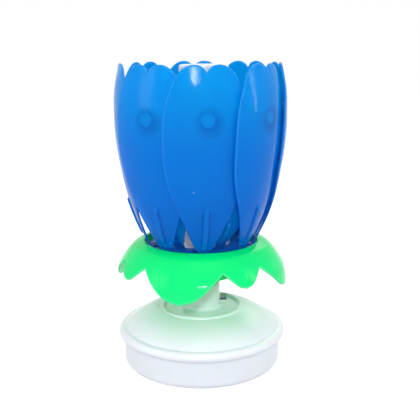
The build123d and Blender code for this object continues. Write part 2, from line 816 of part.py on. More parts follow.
make_petals(outer)
make_petals(inner)
make_petal_ring(outer, plate_top, outer_ring_radius)
make_petal_ring(inner, plate_top + ring_thickness, inner_ring_radius)
make_hub()
make_calyx()
make_fountain()
make_cover()
make_cup()
make_door()
make_case_screws()
make_spindle()
make_gears()
make_motor()
make_cells()
make_board()
make_leads()
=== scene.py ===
import bmesh
import bpy
import json
import numpy as np
from mathutils import Matrix, Vector


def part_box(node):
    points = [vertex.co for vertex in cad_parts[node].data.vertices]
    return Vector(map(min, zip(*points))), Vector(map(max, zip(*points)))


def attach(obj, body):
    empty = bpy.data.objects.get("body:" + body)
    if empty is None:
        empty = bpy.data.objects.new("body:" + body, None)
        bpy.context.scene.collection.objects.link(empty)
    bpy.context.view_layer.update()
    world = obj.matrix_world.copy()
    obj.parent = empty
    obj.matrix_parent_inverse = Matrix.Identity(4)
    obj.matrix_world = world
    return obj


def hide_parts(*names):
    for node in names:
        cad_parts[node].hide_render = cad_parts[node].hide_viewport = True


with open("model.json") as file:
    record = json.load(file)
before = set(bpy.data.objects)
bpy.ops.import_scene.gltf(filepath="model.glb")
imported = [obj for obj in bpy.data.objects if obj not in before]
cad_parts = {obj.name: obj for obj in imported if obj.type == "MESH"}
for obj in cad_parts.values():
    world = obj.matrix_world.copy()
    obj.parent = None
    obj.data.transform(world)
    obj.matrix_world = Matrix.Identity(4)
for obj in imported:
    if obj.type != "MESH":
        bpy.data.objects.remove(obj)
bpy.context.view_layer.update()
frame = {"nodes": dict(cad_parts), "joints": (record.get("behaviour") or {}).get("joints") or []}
joints = {joint["name"]: joint for joint in frame["joints"]}
nodes = frame["nodes"]
mm = 0.001
print("frame loaded:", len(nodes), "nodes")


# Camera, where the photograph was taken from

cameraView = {"distance": 296.6 * mm, "height": 131.8 * mm, "lookDown": 12.73, "roll": 0.48,
              "lens": 63.0, "sensor": 36.0, "shift": 0.022}


def makeCamera(view):
    # in front of the object, looking along +Y, tipped down and rolled a little
    data = bpy.data.cameras.new("photoCamera")
    data.lens = view["lens"]
    data.sensor_width = view["sensor"]
    data.shift_x = view["shift"]
    camera = bpy.data.objects.new("photoCamera", data)
    bpy.context.scene.collection.objects.link(camera)
    tilt = Matrix.Rotation(np.radians(90.0 - view["lookDown"]), 4, "X")
    roll = Matrix.Rotation(np.radians(-view["roll"]), 4, "Z")
    camera.matrix_world = Matrix.Translation((0, -view["distance"], view["height"])) @ tilt @ roll
    bpy.context.scene.camera = camera


makeCamera(cameraView)


# Mesh helpers

def gridFaces(rows, columns, wrapRows=False, wrapColumns=False, start=0):
    # quads between neighbouring rows and columns of a grid of points, row by row
    i = np.arange(rows if wrapRows else rows - 1)
    j = np.arange(columns if wrapColumns else columns - 1)
    a, b = np.meshgrid(i, j, indexing="ij")
    c, d = (a + 1) % rows, (b + 1) % columns
    corners = [a * columns + b, c * columns + b, c * columns + d, a * columns + d]
    return np.stack(corners, axis=-1).reshape(-1, 4) + start


weldDistance, sharpAngle = 0.002 * mm, 38.0


def makePiece(name, points, faces, body, stands, materials, faceMaterial=None, place=None,
              uv=None, edge=None):
    # one smooth mesh piece that rides on a body and stands for CAD nodes
    mesh = bpy.data.meshes.new(name)
    points = np.asarray(points, float).reshape(-1, 3)
    if place is not None:
        turn = np.array(place.to_3x3())
        points = points @ turn.T + np.array(place.translation)
    mesh.from_pydata(points.tolist(), [], np.asarray(faces).tolist())
    if uv is not None:
        corners = np.zeros(len(mesh.loops), np.int32)
        mesh.loops.foreach_get("vertex_index", corners)
        layer = mesh.uv_layers.new(name="place")
        layer.data.foreach_set("uv", np.asarray(uv, np.float32).reshape(-1, 2)[corners].ravel())
    for material in materials:
        mesh.materials.append(material)
    if faceMaterial is not None:
        mesh.polygons.foreach_set("material_index", np.asarray(faceMaterial, np.int32))
    if edge is not None:
        mesh.attributes.new("edge", "FLOAT", "POINT").data.foreach_set("value", np.asarray(edge, np.float32))
    merged = bmesh.new()
    merged.from_mesh(mesh)
    bmesh.ops.remove_doubles(merged, verts=merged.verts, dist=weldDistance)
    bmesh.ops.recalc_face_normals(merged, faces=merged.faces)
    merged.to_mesh(mesh)
    merged.free()
    mesh.polygons.foreach_set("use_smooth", np.ones(len(mesh.polygons), bool))
    mesh.set_sharp_from_angle(angle=np.radians(sharpAngle))
    piece = bpy.data.objects.new(name, mesh)
    bpy.context.scene.collection.objects.link(piece)
    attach(piece, body)
    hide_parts(*stands)


def smoothCurve(knots, values, at):
    # cubic Hermite curve through the values, with the slope at a knot taken across its neighbours
    knots, values = np.asarray(knots, float), np.asarray(values, float)
    slopes = np.gradient(values, knots)
    at = np.clip(at, knots[0], knots[-1])
    k = np.clip(np.searchsorted(knots, at, side="right") - 1, 0, len(knots) - 2)
    gap = knots[k + 1] - knots[k]
    t = (at - knots[k]) / gap
    rise = values[k + 1] - values[k]
    lean = (1 - t) * (slopes[k] * gap - rise) - t * (slopes[k + 1] * gap - rise)
    return values[k] + rise * t + t * (1 - t) * lean


def roundedLine(points, radii, steps=6):
    # a line of (r, z) points with its corners rounded by tangent arcs, each of its own radius and taking up
    # less than half of the run on either side
    points = np.asarray(points, float)
    out = [points[0]]
    for before, corner, after, radius in zip(points[:-2], points[1:-1], points[2:], radii):
        a, b = before - corner, after - corner
        la, lb = np.linalg.norm(a), np.linalg.norm(b)
        a, b = a / la, b / lb
        half = np.arccos(np.clip(a @ b, -1, 1)) / 2
        reach = min(radius / np.tan(half), 0.49 * la, 0.49 * lb)
        if radius <= 0 or reach < 1e-7:
            out.append(corner)
            continue
        centre = corner + (a + b) / np.linalg.norm(a + b) * reach / np.cos(half)
        start, end = corner + a * reach - centre, corner + b * reach - centre
        turn = np.arctan2(start[0] * end[1] - start[1] * end[0], start @ end)
        angles = np.linspace(0, turn, steps + 1)
        swing = np.stack([np.cos(angles) * start[0] - np.sin(angles) * start[1],
                          np.sin(angles) * start[0] + np.cos(angles) * start[1]], axis=-1)
        out.extend(centre + swing)
    out.append(points[-1])
    return np.array(out)


def lathe(profile, segments):
    # the (r, z) profile turned about the vertical axis, one column of points for each angle
    profile = np.asarray(profile, float)
    angle = np.linspace(0, 2 * np.pi, segments, endpoint=False)
    points = np.stack([np.outer(np.cos(angle), profile[:, 0]), np.outer(np.sin(angle), profile[:, 0]),
                       np.tile(profile[:, 1], (segments, 1))], axis=-1)
    return points.reshape(-1, 3), gridFaces(segments, len(profile), True)


def joinParts(parts):
    # several (points, faces) pairs as one, with the number of the part for each face
    points, faces, which, start = [], [], [], 0
    for number, (p, f) in enumerate(parts):
        points.append(p.reshape(-1, 3))
        faces.append(f + start)
        which.append(np.full(len(f), number))
        start += len(points[-1])
    return np.concatenate(points), np.concatenate(faces), np.concatenate(which)


# Shader helpers

white, black = (1.0, 1.0, 1.0, 1.0), (0.0, 0.0, 0.0, 1.0)


def tone(red, green, blue):
    # a screen colour of 0 to 255 as the linear colour that a shader takes
    c = np.array([red, green, blue]) / 255.0
    c = np.where(c <= 0.04045, c / 12.92, ((c + 0.055) / 1.055) ** 2.4)
    return (*c.tolist(), 1.0)


def addNode(tree, kind, **values):
    node = tree.nodes.new(kind)
    for key, value in values.items():
        setattr(node, key, value)
    return node


def calc(tree, operation, a, b=None, clamp=False):
    # a Math node whose inputs are sockets or numbers
    node = addNode(tree, "ShaderNodeMath", operation=operation, use_clamp=clamp)
    for socket, value in zip(node.inputs, (a, b)):
        if value is None:
            continue
        if isinstance(value, (int, float)):
            socket.default_value = value
        else:
            tree.links.new(value, socket)
    return node.outputs[0]


def mixColours(tree, factor, a, b):
    # colour a where the factor is 0 and colour b where it is 1; each is a socket or a plain value
    node = addNode(tree, "ShaderNodeMix", data_type="RGBA")
    for socket, value in zip((node.inputs[0], node.inputs[6], node.inputs[7]), (factor, a, b)):
        if isinstance(value, (int, float, tuple)):
            socket.default_value = value
        else:
            tree.links.new(value, socket)
    return node.outputs[2]


def layOver(tree, under, colour, mask, share):
    # a colour laid over another where the mask is bright, up to this share
    return mixColours(tree, calc(tree, "MULTIPLY", mask, share), under, colour)


def shaded(colour, keep):
    return tuple(c * keep for c in colour[:3]) + (1.0,)


def ramp(tree, factor, stops):
    # a colour ramp that eases from each (place, colour) stop to the next
    node = addNode(tree, "ShaderNodeValToRGB")
    node.color_ramp.interpolation = "EASE"
    while len(node.color_ramp.elements) < len(stops):
        node.color_ramp.elements.new(0.5)
    for element, (place, colour) in zip(node.color_ramp.elements, stops):
        element.position = place
        element.color = colour
    tree.links.new(factor, node.inputs[0])
    return node.outputs[0]


def noise(tree, vector, scale, detail, roughness):
    node = addNode(tree, "ShaderNodeTexNoise")
    node.inputs["Scale"].default_value = scale
    node.inputs["Detail"].default_value = detail
    node.inputs["Roughness"].default_value = roughness
    tree.links.new(vector, node.inputs["Vector"])
    return node.outputs["Fac"]


def newGroup(name, inputs, outputs):
    # a node group whose sockets have these names and kinds
    group = bpy.data.node_groups.new(name, "ShaderNodeTree")
    for direction, sockets in (("INPUT", inputs), ("OUTPUT", outputs)):
        for title, kind in sockets.items():
            group.interface.new_socket(title, in_out=direction, socket_type=kind)
    source, sink = group.nodes.new("NodeGroupInput"), group.nodes.new("NodeGroupOutput")
    return group, source, sink


skinDetail = {"waveDetail": 1.0, "peelDetail": 2.0, "peelShare": 0.12, "cloudScale": 28.0, "cloudDetail": 3.0,
              "speckSize": 0.035}


def makeMouldedSkin(detail):
    # moulded plastic's surface: slow waviness, a fine orange peel, and tiny specks of dust
    group, source, sink = newGroup(
        "mouldedSkin",
        {"Vector": "NodeSocketVector", "Wave Scale": "NodeSocketFloat", "Peel Scale": "NodeSocketFloat",
         "Speck Scale": "NodeSocketFloat"},
        {"Height": "NodeSocketFloat", "Cloud": "NodeSocketFloat", "Specks": "NodeSocketFloat"})
    wave = addNode(group, "ShaderNodeTexNoise")
    peel = addNode(group, "ShaderNodeTexNoise")
    specks = addNode(group, "ShaderNodeTexVoronoi")
    cloud = addNode(group, "ShaderNodeTexNoise")
    wave.inputs["Detail"].default_value = detail["waveDetail"]
    peel.inputs["Detail"].default_value = detail["peelDetail"]
    cloud.inputs["Scale"].default_value = detail["cloudScale"]
    cloud.inputs["Detail"].default_value = detail["cloudDetail"]
    for node in (wave, peel, specks, cloud):
        group.links.new(source.outputs["Vector"], node.inputs["Vector"])
    for node, scale in ((wave, "Wave Scale"), (peel, "Peel Scale"), (specks, "Speck Scale")):
        group.links.new(source.outputs[scale], node.inputs["Scale"])
    peeled = calc(group, "MULTIPLY", peel.outputs["Fac"], detail["peelShare"])
    dust = calc(group, "LESS_THAN", specks.outputs["Distance"], detail["speckSize"])
    group.links.new(calc(group, "ADD", wave.outputs["Fac"], peeled), sink.inputs["Height"])
    group.links.new(cloud.outputs["Fac"], sink.inputs["Cloud"])
    group.links.new(dust, sink.inputs["Specks"])
    return group


mouldedSkin = makeMouldedSkin(skinDetail)


def startMaterial(name, shine):
    # a material with its Principled shader set from a table of plain values
    material = bpy.data.materials.new(name)
    material.use_nodes = True
    tree = material.node_tree
    shader = tree.nodes["Principled BSDF"]
    for key, value in shine.items():
        shader.inputs[key].default_value = value
    place = addNode(tree, "ShaderNodeTexCoord")
    return material, tree, shader, place


def addBump(tree, shader, height, distance):
    bump = addNode(tree, "ShaderNodeBump")
    bump.inputs["Distance"].default_value = distance
    tree.links.new(height, bump.inputs["Height"])
    tree.links.new(bump.outputs["Normal"], shader.inputs["Normal"])


def addRoughness(tree, shader, pattern, least, spread):
    # the least roughness plus a share of a pattern
    rough = calc(tree, "ADD", calc(tree, "MULTIPLY", pattern, spread), least)
    tree.links.new(rough, shader.inputs["Roughness"])


def stretched(tree, place, scale):
    # Object coordinates multiplied along each axis, which draws a pattern out where the number is small
    node = addNode(tree, "ShaderNodeMapping")
    node.inputs["Scale"].default_value = scale
    tree.links.new(place.outputs["Object"], node.inputs["Vector"])
    return node.outputs[0]


def addSkin(tree, place, wave, peel, specks=260.0):
    skin = addNode(tree, "ShaderNodeGroup", node_tree=mouldedSkin)
    tree.links.new(place.outputs["Object"], skin.inputs["Vector"])
    skin.inputs["Wave Scale"].default_value = wave
    skin.inputs["Peel Scale"].default_value = peel
    skin.inputs["Speck Scale"].default_value = specks
    return skin


plasticSpread = 0.08  # how far plain plastic's roughness rises with its cloudiness


def mouldedPlastic(name, colour, shine, wave=60.0, peel=900.0, bump=0.03, cloudShare=0.08):
    # plain moulded plastic, a little uneven in colour and gloss
    material, tree, shader, place = startMaterial(name, shine)
    skin = addSkin(tree, place, wave, peel)
    base = mixColours(tree, skin.outputs["Cloud"], shaded(colour, 1 - cloudShare), colour)
    tree.links.new(base, shader.inputs["Base Color"])
    addRoughness(tree, shader, skin.outputs["Cloud"], shine["Roughness"], plasticSpread)
    addBump(tree, shader, skin.outputs["Height"], bump * mm)
    return material


# Petals: a coordinate map carries each petal's own width and height, so marks and painted light and shade
# stay with the moulding

# in this table the socket's bright disc and the ring round it are painted light and painted shadow
petalPaint = {"top": tone(4, 168, 244), "middle": tone(2, 144, 242), "foot": tone(2, 126, 232),
              "heights": (0.02, 0.45, 0.95), "cloudShare": 0.25, "disc": tone(4, 168, 252),
              "discShare": 0.7, "discRamp": [(0.36, white), (0.43, black)], "halo": tone(1, 114, 210),
              "haloShare": 0.6, "haloRamp": [(0.30, white), (0.42, (0.6, 0.6, 0.6, 1.0)), (0.72, black)],
              # the rib's colours below are a painted highlight along its top and painted shade at its sides
              "shadowAside": 0.7 * mm, "shadowBelow": 0.9 * mm, "rib": tone(8, 142, 240), "ribShare": 0.8,
              "ribRamp": [(0.28, white), (0.34, black)], "ribSide": tone(0, 100, 200),
              "ribSideShare": 0.7, "ribSideRamp": [(0.30, black), (0.37, white), (0.62, black)],
              # the rim's colour is a painted highlight along the petal's edge
              "ribFade": 90.0, "rim": tone(70, 180, 250), "rimShare": 0.35, "rimStart": 0.12,
              "rimRise": 3.0, "dust": tone(210, 235, 255), "dustShare": 0.8, "dustHeight": 0.3,
              "mapSize": 100.0 * mm, "skin": (130.0, 1300.0, 150.0), "leastRough": 0.03,
              "roughSpread": 0.10, "bump": 0.12 * mm, "dentNoise": (480.0, 3.0, 0.72),
              "dentStretch": (1.0, 1.0, 0.5), "dentStart": 0.60, "dentRise": 2.6, "dentPower": 1.5,
              "dentDepth": 0.9,
              "shine": {"IOR": 1.16, "Transmission Weight": 0.45, "Specular IOR Level": 0.5}}


def roundShare(tree, across, along, size):
    # the distance from a mark's centre as a share of a size
    squares = calc(tree, "ADD", calc(tree, "POWER", across, 2.0), calc(tree, "POWER", along, 2.0))
    return calc(tree, "DIVIDE", calc(tree, "SQRT", squares), size)


def makePetalMaterial(name, paint, shape, socketRadius):
    # the blue runs from the foot to the lobes, and the socket's painted light and shadow, the rib's painted
    # highlight and shade, the rim's painted highlight and the dust are laid over it in turn
    material, tree, shader, place = startMaterial(name, paint["shine"])
    size = paint["mapSize"]
    skin = addSkin(tree, place, *paint["skin"])
    spot = addNode(tree, "ShaderNodeUVMap", uv_map="place")
    split = addNode(tree, "ShaderNodeSeparateXYZ")
    tree.links.new(spot.outputs[0], split.inputs[0])
    up = calc(tree, "DIVIDE", split.outputs[1], petalHeight(shape) / size)
    uneven = calc(tree, "MULTIPLY", calc(tree, "SUBTRACT", skin.outputs["Cloud"], 0.5), paint["cloudShare"])
    blues = (paint["foot"], paint["middle"], paint["top"])
    base = ramp(tree, calc(tree, "ADD", up, uneven), list(zip(paint["heights"], blues)))
    across = calc(tree, "SUBTRACT", split.outputs[0], 0.5)
    along = calc(tree, "SUBTRACT", split.outputs[1], socketHeight(shape) / size)
    # painted light: the socket behind the wall is painted as a bright disc, with a painted shadow a little to
    # the side and below
    disc = ramp(tree, roundShare(tree, across, along, 2 * socketRadius / size), paint["discRamp"])
    aside = calc(tree, "SUBTRACT", across, paint["shadowAside"] / size)
    beneath = calc(tree, "ADD", along, paint["shadowBelow"] / size)
    halo = ramp(tree, roundShare(tree, aside, beneath, 3 * socketRadius / size), paint["haloRamp"])
    socketShadowed = layOver(tree, base, paint["halo"], halo, paint["haloShare"])
    socketLit = layOver(tree, socketShadowed, paint["disc"], disc, paint["discShare"])
    # the rib is thicker plastic, with a painted highlight along its top and painted shade where it meets the
    # wall
    fromRib = calc(tree, "DIVIDE", calc(tree, "ABSOLUTE", across), 1.5 * shape["ribWidth"] / size)
    below = calc(tree, "SUBTRACT", shape["ribEnd"], up)
    below = calc(tree, "MULTIPLY", below, paint["ribFade"], clamp=True)
    ribSide = calc(tree, "MULTIPLY", ramp(tree, fromRib, paint["ribSideRamp"]), below)
    ribPaintedHighlight = calc(tree, "MULTIPLY", ramp(tree, fromRib, paint["ribRamp"]), below)
    ribShaded = layOver(tree, socketLit, paint["ribSide"], ribSide, paint["ribSideShare"])
    ribLit = layOver(tree, ribShaded, paint["rib"], ribPaintedHighlight, paint["ribShare"])
    # the rim gets a painted highlight above the foot, and dust lies over all of it
    edge = addNode(tree, "ShaderNodeAttribute", attribute_name="edge")
    rising = calc(tree, "SUBTRACT", up, paint["rimStart"])
    rising = calc(tree, "MULTIPLY", rising, paint["rimRise"], clamp=True)
    rim = calc(tree, "MULTIPLY", edge.outputs["Fac"], rising)
    rimHighlighted = layOver(tree, ribLit, paint["rim"], rim, paint["rimShare"])
    dusty = layOver(tree, rimHighlighted, paint["dust"], skin.outputs["Specks"], paint["dustShare"])
    tree.links.new(dusty, shader.inputs["Base Color"])
    addRoughness(tree, shader, skin.outputs["Cloud"], paint["leastRough"], paint["roughSpread"])
    # shallow dents in the lobes break up a lamp's reflection
    dents = noise(tree, stretched(tree, place, paint["dentStretch"]), *paint["dentNoise"])
    near = calc(tree, "SUBTRACT", up, paint["dentStart"])
    near = calc(tree, "MULTIPLY", near, paint["dentRise"], clamp=True)
    depth = calc(tree, "MULTIPLY", calc(tree, "POWER", near, paint["dentPower"]), paint["dentDepth"])
    grain = calc(tree, "MULTIPLY", skin.outputs["Specks"], paint["dustHeight"])
    grainy = calc(tree, "ADD", skin.outputs["Height"], grain)
    addBump(tree, shader, calc(tree, "ADD", grainy, calc(tree, "MULTIPLY", dents, depth)), paint["bump"])
    return material


outerPetal = {"kind": "outer", "count": 8, "belly": 34.0 * mm, "halfWidth": 16.32 * mm,
              "lobeHalf": 4.6 * mm, "notch": 3.6 * mm, "wall": 0.8 * mm, "shoulderShare": 0.94,
              "profileShares": [(0.0, 0.0), (0.11, 0.297), (0.25, 0.594), (0.40, 0.80), (0.56, 0.955),
                                (0.71, 1.0), (0.86, 0.955), (1.0, 0.775)],
              "widthShares": [(0.0, 0.209), (0.185, 0.56), (0.37, 0.87), (0.62, 1.0), (0.82, 0.90),
                              (0.94, 0.70)],
              "ribStart": 0.012, "ribEnd": 0.24, "ribHeight": 0.7 * mm, "ribWidth": 2.0 * mm,
              "socketDepth": 4.4 * mm, "rows": 121, "columns": 65}
innerPetal = {"kind": "inner", "count": 6, "belly": 29.0 * mm, "halfWidth": 13.4 * mm,
              "lobeHalf": 4.2 * mm, "notch": 3.2 * mm, "wall": 0.8 * mm, "shoulderShare": 0.90,
              "profileShares": [(0.0, 0.0), (0.10, 0.25), (0.25, 0.52), (0.42, 0.77), (0.62, 0.94),
                                (0.82, 1.0), (1.0, 0.98)],
              "widthShares": [(0.0, 0.224), (0.23, 0.56), (0.48, 0.87), (0.72, 1.0), (0.90, 0.84)],
              "ribStart": 0.035, "ribEnd": 0.24, "ribHeight": 0.7 * mm, "ribWidth": 2.0 * mm,
              "socketDepth": 4.4 * mm, "rows": 81, "columns": 57}
petalDetail = {"fallPower": 2.15, "notchDepth": 0.985, "slopeStep": 0.1 * mm, "sway": 0.09 * mm,
               "swayUp": 5.0, "swayAcross": 2.2, "ribRise": 0.03, "ribFall": 0.012, "ribSquareness": 16,
               "rimSteps": 7}
candle = {"radius": 2.5 * mm, "taper": 0.9 * mm, "tipShare": 0.55, "tipRise": 0.1 * mm, "segments": 40,
          "rounding": [0.25 * mm, 0.9 * mm, 0.4 * mm], "wickRadius": 0.36 * mm, "wickLength": 4.0 * mm,
          "wickEnd": 13.5 * mm, "wickRoot": 0.3 * mm, "wickTurns": 2.5, "play": 0.05 * mm,
          "socketWall": 0.6 * mm, "socketSink": 0.1 * mm, "socketFlare": 0.9 * mm, "flareHeight": 0.25 * mm,
          "boreStart": 0.3 * mm, "socketRounding": [0.6 * mm, 0.15 * mm, 0.15 * mm], "socketSegments": 48}


def petalFrame(kind, number):
    # the petal's own axes at rest: X away from the flower's axis, Y along its hinge line, Z up
    joint = joints[f"{kind}_petal_{number}_fold"]
    along = Vector(joint["axis"]).normalized()
    out = along.cross(Vector((0, 0, 1)))
    turn = Matrix((out, along, Vector((0, 0, 1)))).transposed().to_4x4()
    hinge = Vector(joint["pos_m"])
    return Matrix.Translation(hinge) @ turn


def petalHeight(shape):
    # from the hinge line to the lobes' tips, less the rounding of the rim
    node = f"{shape['kind']}_petal_1"
    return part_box(node)[1].z - joints[f"{node}_fold"]["pos_m"][2]


def hingeRadius(shape):
    # how far the revolved wall's centre line is from the flower's axis at the hinge
    joint = joints[f"{shape['kind']}_petal_1_fold"]
    x, y, _ = joint["pos_m"]
    out = Vector(joint["axis"]).cross(Vector((0, 0, 1)))
    side = x * joint["axis"][0] + y * joint["axis"][1]
    forward = x * out.x + y * out.y
    # the petal is yawed about its belly line, so its own axis isn't quite the flower's
    return shape["belly"] + forward - np.sqrt(shape["belly"] ** 2 - side ** 2)


def socketHeight(shape):
    # how far the candle's socket is above the hinge line
    node = f"{shape['kind']}_candle_1"
    low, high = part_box(node)
    return (low.z + high.z) / 2 - joints[f"{shape['kind']}_petal_1_fold"]["pos_m"][2]


def bulgeAt(shape, radius, height, z):
    # the wall's distance from the flower's axis: the hinge's radius plus a share of the way out to the belly
    heights, bulges = np.array(shape["profileShares"]).T
    return smoothCurve(heights * height, radius + bulges * (shape["belly"] - radius), z)


def lobeTop(shape, height, y):
    # the height of the top edge: two round lobes that meet in a narrow notch, falling away to the shoulders
    shoulder = shape["widthShares"][-1][1] * shape["halfWidth"]
    lobe, side, deep = shape["lobeHalf"], np.abs(y), petalDetail["notchDepth"]
    fall = height * (1 - shape["shoulderShare"])
    outside = fall * np.clip((side - lobe) / (shoulder - lobe), 0, 1) ** petalDetail["fallPower"]
    inward = deep * np.clip((lobe - side) / lobe, 0, 1)
    dip = (1 - np.sqrt(1 - inward ** 2)) / (1 - np.sqrt(1 - deep ** 2))
    return height - outside - shape["notch"] * dip


def petalWall(shape, seed):
    # the wall's middle surface on a grid: y is the share across times the half width at that height, z runs
    # from the foot to the lobed top edge, and x lies on the round of the flower. Two offset copies are its
    # faces, and the outer one rises into the rib along the middle of the foot.
    half, step = shape["wall"] / 2, petalDetail["slopeStep"]
    height, radius = petalHeight(shape), hingeRadius(shape)
    across = np.linspace(-1, 1, shape["columns"])
    up = np.linspace(0, 1, shape["rows"])
    u, v = np.meshgrid(across, up, indexing="ij")
    heights, widths = np.array(shape["widthShares"]).T
    width = smoothCurve(heights, widths * shape["halfWidth"], v * shape["shoulderShare"]) - half
    y = u * width
    top = lobeTop(shape, height, u * (widths[-1] * shape["halfWidth"])) - half
    z = v * top
    share = z / height
    bulge = bulgeAt(shape, radius, height, z)
    slope = (bulgeAt(shape, radius, height, z + step) - bulgeAt(shape, radius, height, z - step)) / (2 * step)
    x = np.sqrt(bulge ** 2 - y ** 2)
    normal = np.stack([x / bulge, y / bulge, -slope], axis=-1)
    normal /= np.linalg.norm(normal, axis=-1, keepdims=True)
    middle = np.stack([x - radius, y, z], axis=-1)
    # no two petals are alike: each wall sways a little, by its own random phases
    phase = np.random.default_rng(seed).uniform(0, 2 * np.pi, 2)
    sway = np.sin(share * petalDetail["swayUp"] + phase[0]) * np.cos(u * petalDetail["swayAcross"] + phase[1])
    sway = sway * v * (1 - 0.5 * v)
    middle += normal * (petalDetail["sway"] * sway)[..., None]
    rib = np.clip((share - shape["ribStart"]) / petalDetail["ribRise"], 0, 1)
    rib = rib * np.clip((shape["ribEnd"] - share) / petalDetail["ribFall"], 0, 1)
    rib = rib * rib * (3 - 2 * rib)
    ridge = np.exp(-(2.0 * y / shape["ribWidth"]) ** petalDetail["ribSquareness"])
    outside = middle + normal * (half + shape["ribHeight"] * rib * ridge)[..., None]
    inside = middle - normal * half
    return middle, normal, outside, inside


def petalShell(shape, seed):
    # closes the two faces with a half-round rim carried along the edge of the grid
    middle, normal, outside, inside = petalWall(shape, seed)
    columns, rows = middle.shape[:2]
    count = columns * rows
    loop = np.concatenate([np.arange(rows - 1), np.arange(columns - 1) * rows + rows - 1,
                           (columns - 1) * rows + np.arange(rows - 1, 0, -1),
                           np.arange(columns - 1, 0, -1) * rows])
    edge, up, high, low = (grid.reshape(-1, 3)[loop] for grid in (middle, normal, outside, inside))
    along = np.roll(edge, -1, axis=0) - np.roll(edge, 1, axis=0)
    away = np.cross(along, up)
    away /= np.linalg.norm(away, axis=1, keepdims=True)
    if ((edge - middle[columns // 2, rows // 2]) * away).sum() < 0:
        away = -away
    half, centreLine, reach = (high - low) / 2, (high + low) / 2, shape["wall"] / 2
    turns = np.linspace(np.pi / 2, -np.pi / 2, petalDetail["rimSteps"])[1:-1]
    rim = np.stack([centreLine + half * np.sin(t) + away * reach * np.cos(t) for t in turns])
    points = np.concatenate([outside.reshape(-1, 3), inside.reshape(-1, 3), rim.reshape(-1, 3)])
    rimLines = [2 * count + k * len(loop) + np.arange(len(loop)) for k in range(len(turns))]
    lines = [loop, *rimLines, count + loop]
    rimFaces = [np.stack([a, np.roll(a, -1), np.roll(b, -1), b], axis=-1) for a, b in zip(lines, lines[1:])]
    faces = np.concatenate([gridFaces(columns, rows), gridFaces(columns, rows, start=count)[:, ::-1],
                            *rimFaces])
    onEdge = np.zeros(len(points))
    onEdge[loop], onEdge[count + loop], onEdge[2 * count:] = 1, 1, 1
    return points, faces, onEdge


def socketTube(shape):
    # the candle's socket on the petal's inner face: a short tube with a flared root, along -X from the wall
    height, radius, socket = petalHeight(shape), hingeRadius(shape), socketHeight(shape)
    seat = bulgeAt(shape, radius, height, socket) - radius
    bore, depth = candle["radius"] + candle["play"], shape["socketDepth"]
    outer = bore + candle["socketWall"]
    profile = roundedLine([(outer + candle["socketFlare"], 0), (outer, candle["flareHeight"]), (outer, depth),
                           (bore, depth), (bore, candle["boreStart"])], candle["socketRounding"])
    points, faces = lathe(profile, candle["socketSegments"])
    turned = np.stack([seat - shape["wall"] / 2 + candle["socketSink"] - points[:, 2], points[:, 0],
                       socket + points[:, 1]], axis=-1)
    return turned, faces


def makePetals(shape, material):
    # each petal's map holds its own width and height, measured from its hinge
    size = petalPaint["mapSize"]
    for number in range(1, shape["count"] + 1):
        wall, wallFaces, wallEdge = petalShell(shape, number + 10 * shape["count"])
        points, faces, _ = joinParts([(wall, wallFaces), socketTube(shape)])
        edge = np.concatenate([wallEdge, np.zeros(len(points) - len(wall))])
        uv = np.stack([points[:, 1] / size + 0.5, points[:, 2] / size], axis=-1)
        node = f"{shape['kind']}_petal_{number}"
        makePiece(f"{shape['kind']}Petal{number}", points, faces, node, [node], [material],
                  place=petalFrame(shape["kind"], number), uv=uv, edge=edge)


socketRadius = candle["radius"] + candle["socketWall"]
outerMaterial = makePetalMaterial("outerPetalPlastic", petalPaint, outerPetal, socketRadius)
innerPaint = {**petalPaint, "middle": tone(10, 156, 242), "foot": tone(14, 154, 240)}
innerMaterial = makePetalMaterial("innerPetalPlastic", innerPaint, innerPetal, socketRadius)
makePetals(outerPetal, outerMaterial)
makePetals(innerPetal, innerMaterial)
print("petals made")


# Small candles: a tapered stick of wax and its twisted wick, lying inwards in each socket

waxPaint = {"light": tone(248, 243, 230), "shade": tone(236, 228, 208), "skin": (220.0, 1500.0),
            "bump": 0.06 * mm, "shine": {"Roughness": 0.45, "Subsurface Weight": 0.4,
                                         "Subsurface Scale": 1.5 * mm, "Coat Weight": 0.2,
                                         "Coat Roughness": 0.3}}
cordDetail = {"strands": 3, "swell": 0.14, "tip": 12, "root": 40, "bandScale": 900.0, "bump": 0.05 * mm,
              "shine": {"Roughness": 0.85, "Sheen Weight": 0.3}}


def makeWaxMaterial(paint):
    material, tree, shader, place = startMaterial("candleWax", paint["shine"])
    skin = addSkin(tree, place, *paint["skin"])
    tree.links.new(mixColours(tree, skin.outputs["Cloud"], paint["shade"], paint["light"]),
                   shader.inputs["Base Color"])
    addBump(tree, shader, skin.outputs["Height"], paint["bump"])
    return material


def makeCordMaterial(name, light, dark):
    # spun thread: slanting bands that climb round the wick
    material, tree, shader, place = startMaterial(name, cordDetail["shine"])
    bands = addNode(tree, "ShaderNodeTexWave", wave_type="BANDS", bands_direction="DIAGONAL")
    bands.inputs["Scale"].default_value = cordDetail["bandScale"]
    tree.links.new(place.outputs["Object"], bands.inputs["Vector"])
    tree.links.new(mixColours(tree, bands.outputs["Fac"], dark, light), shader.inputs["Base Color"])
    addBump(tree, shader, bands.outputs["Fac"], cordDetail["bump"])
    return material


def twistedCord(radius, length, turns, rows=24, columns=18):
    # three strands as one surface: the radius swells three times round and the swell climbs with height
    up, around = np.meshgrid(np.linspace(0, 1, rows), np.linspace(0, 2 * np.pi, columns, endpoint=False),
                             indexing="ij")
    wave = np.cos(cordDetail["strands"] * (around - turns * 2 * np.pi * up))
    swell = radius * (1 - cordDetail["swell"] + cordDetail["swell"] * wave)
    swell = swell * np.clip((1 - up) * cordDetail["tip"], 0, 1) ** 0.5
    swell = swell * np.clip(up * cordDetail["root"], 0, 1)
    points = np.stack([swell * np.cos(around), swell * np.sin(around), length * up], axis=-1)
    return points.reshape(-1, 3), gridFaces(rows, columns, False, True)


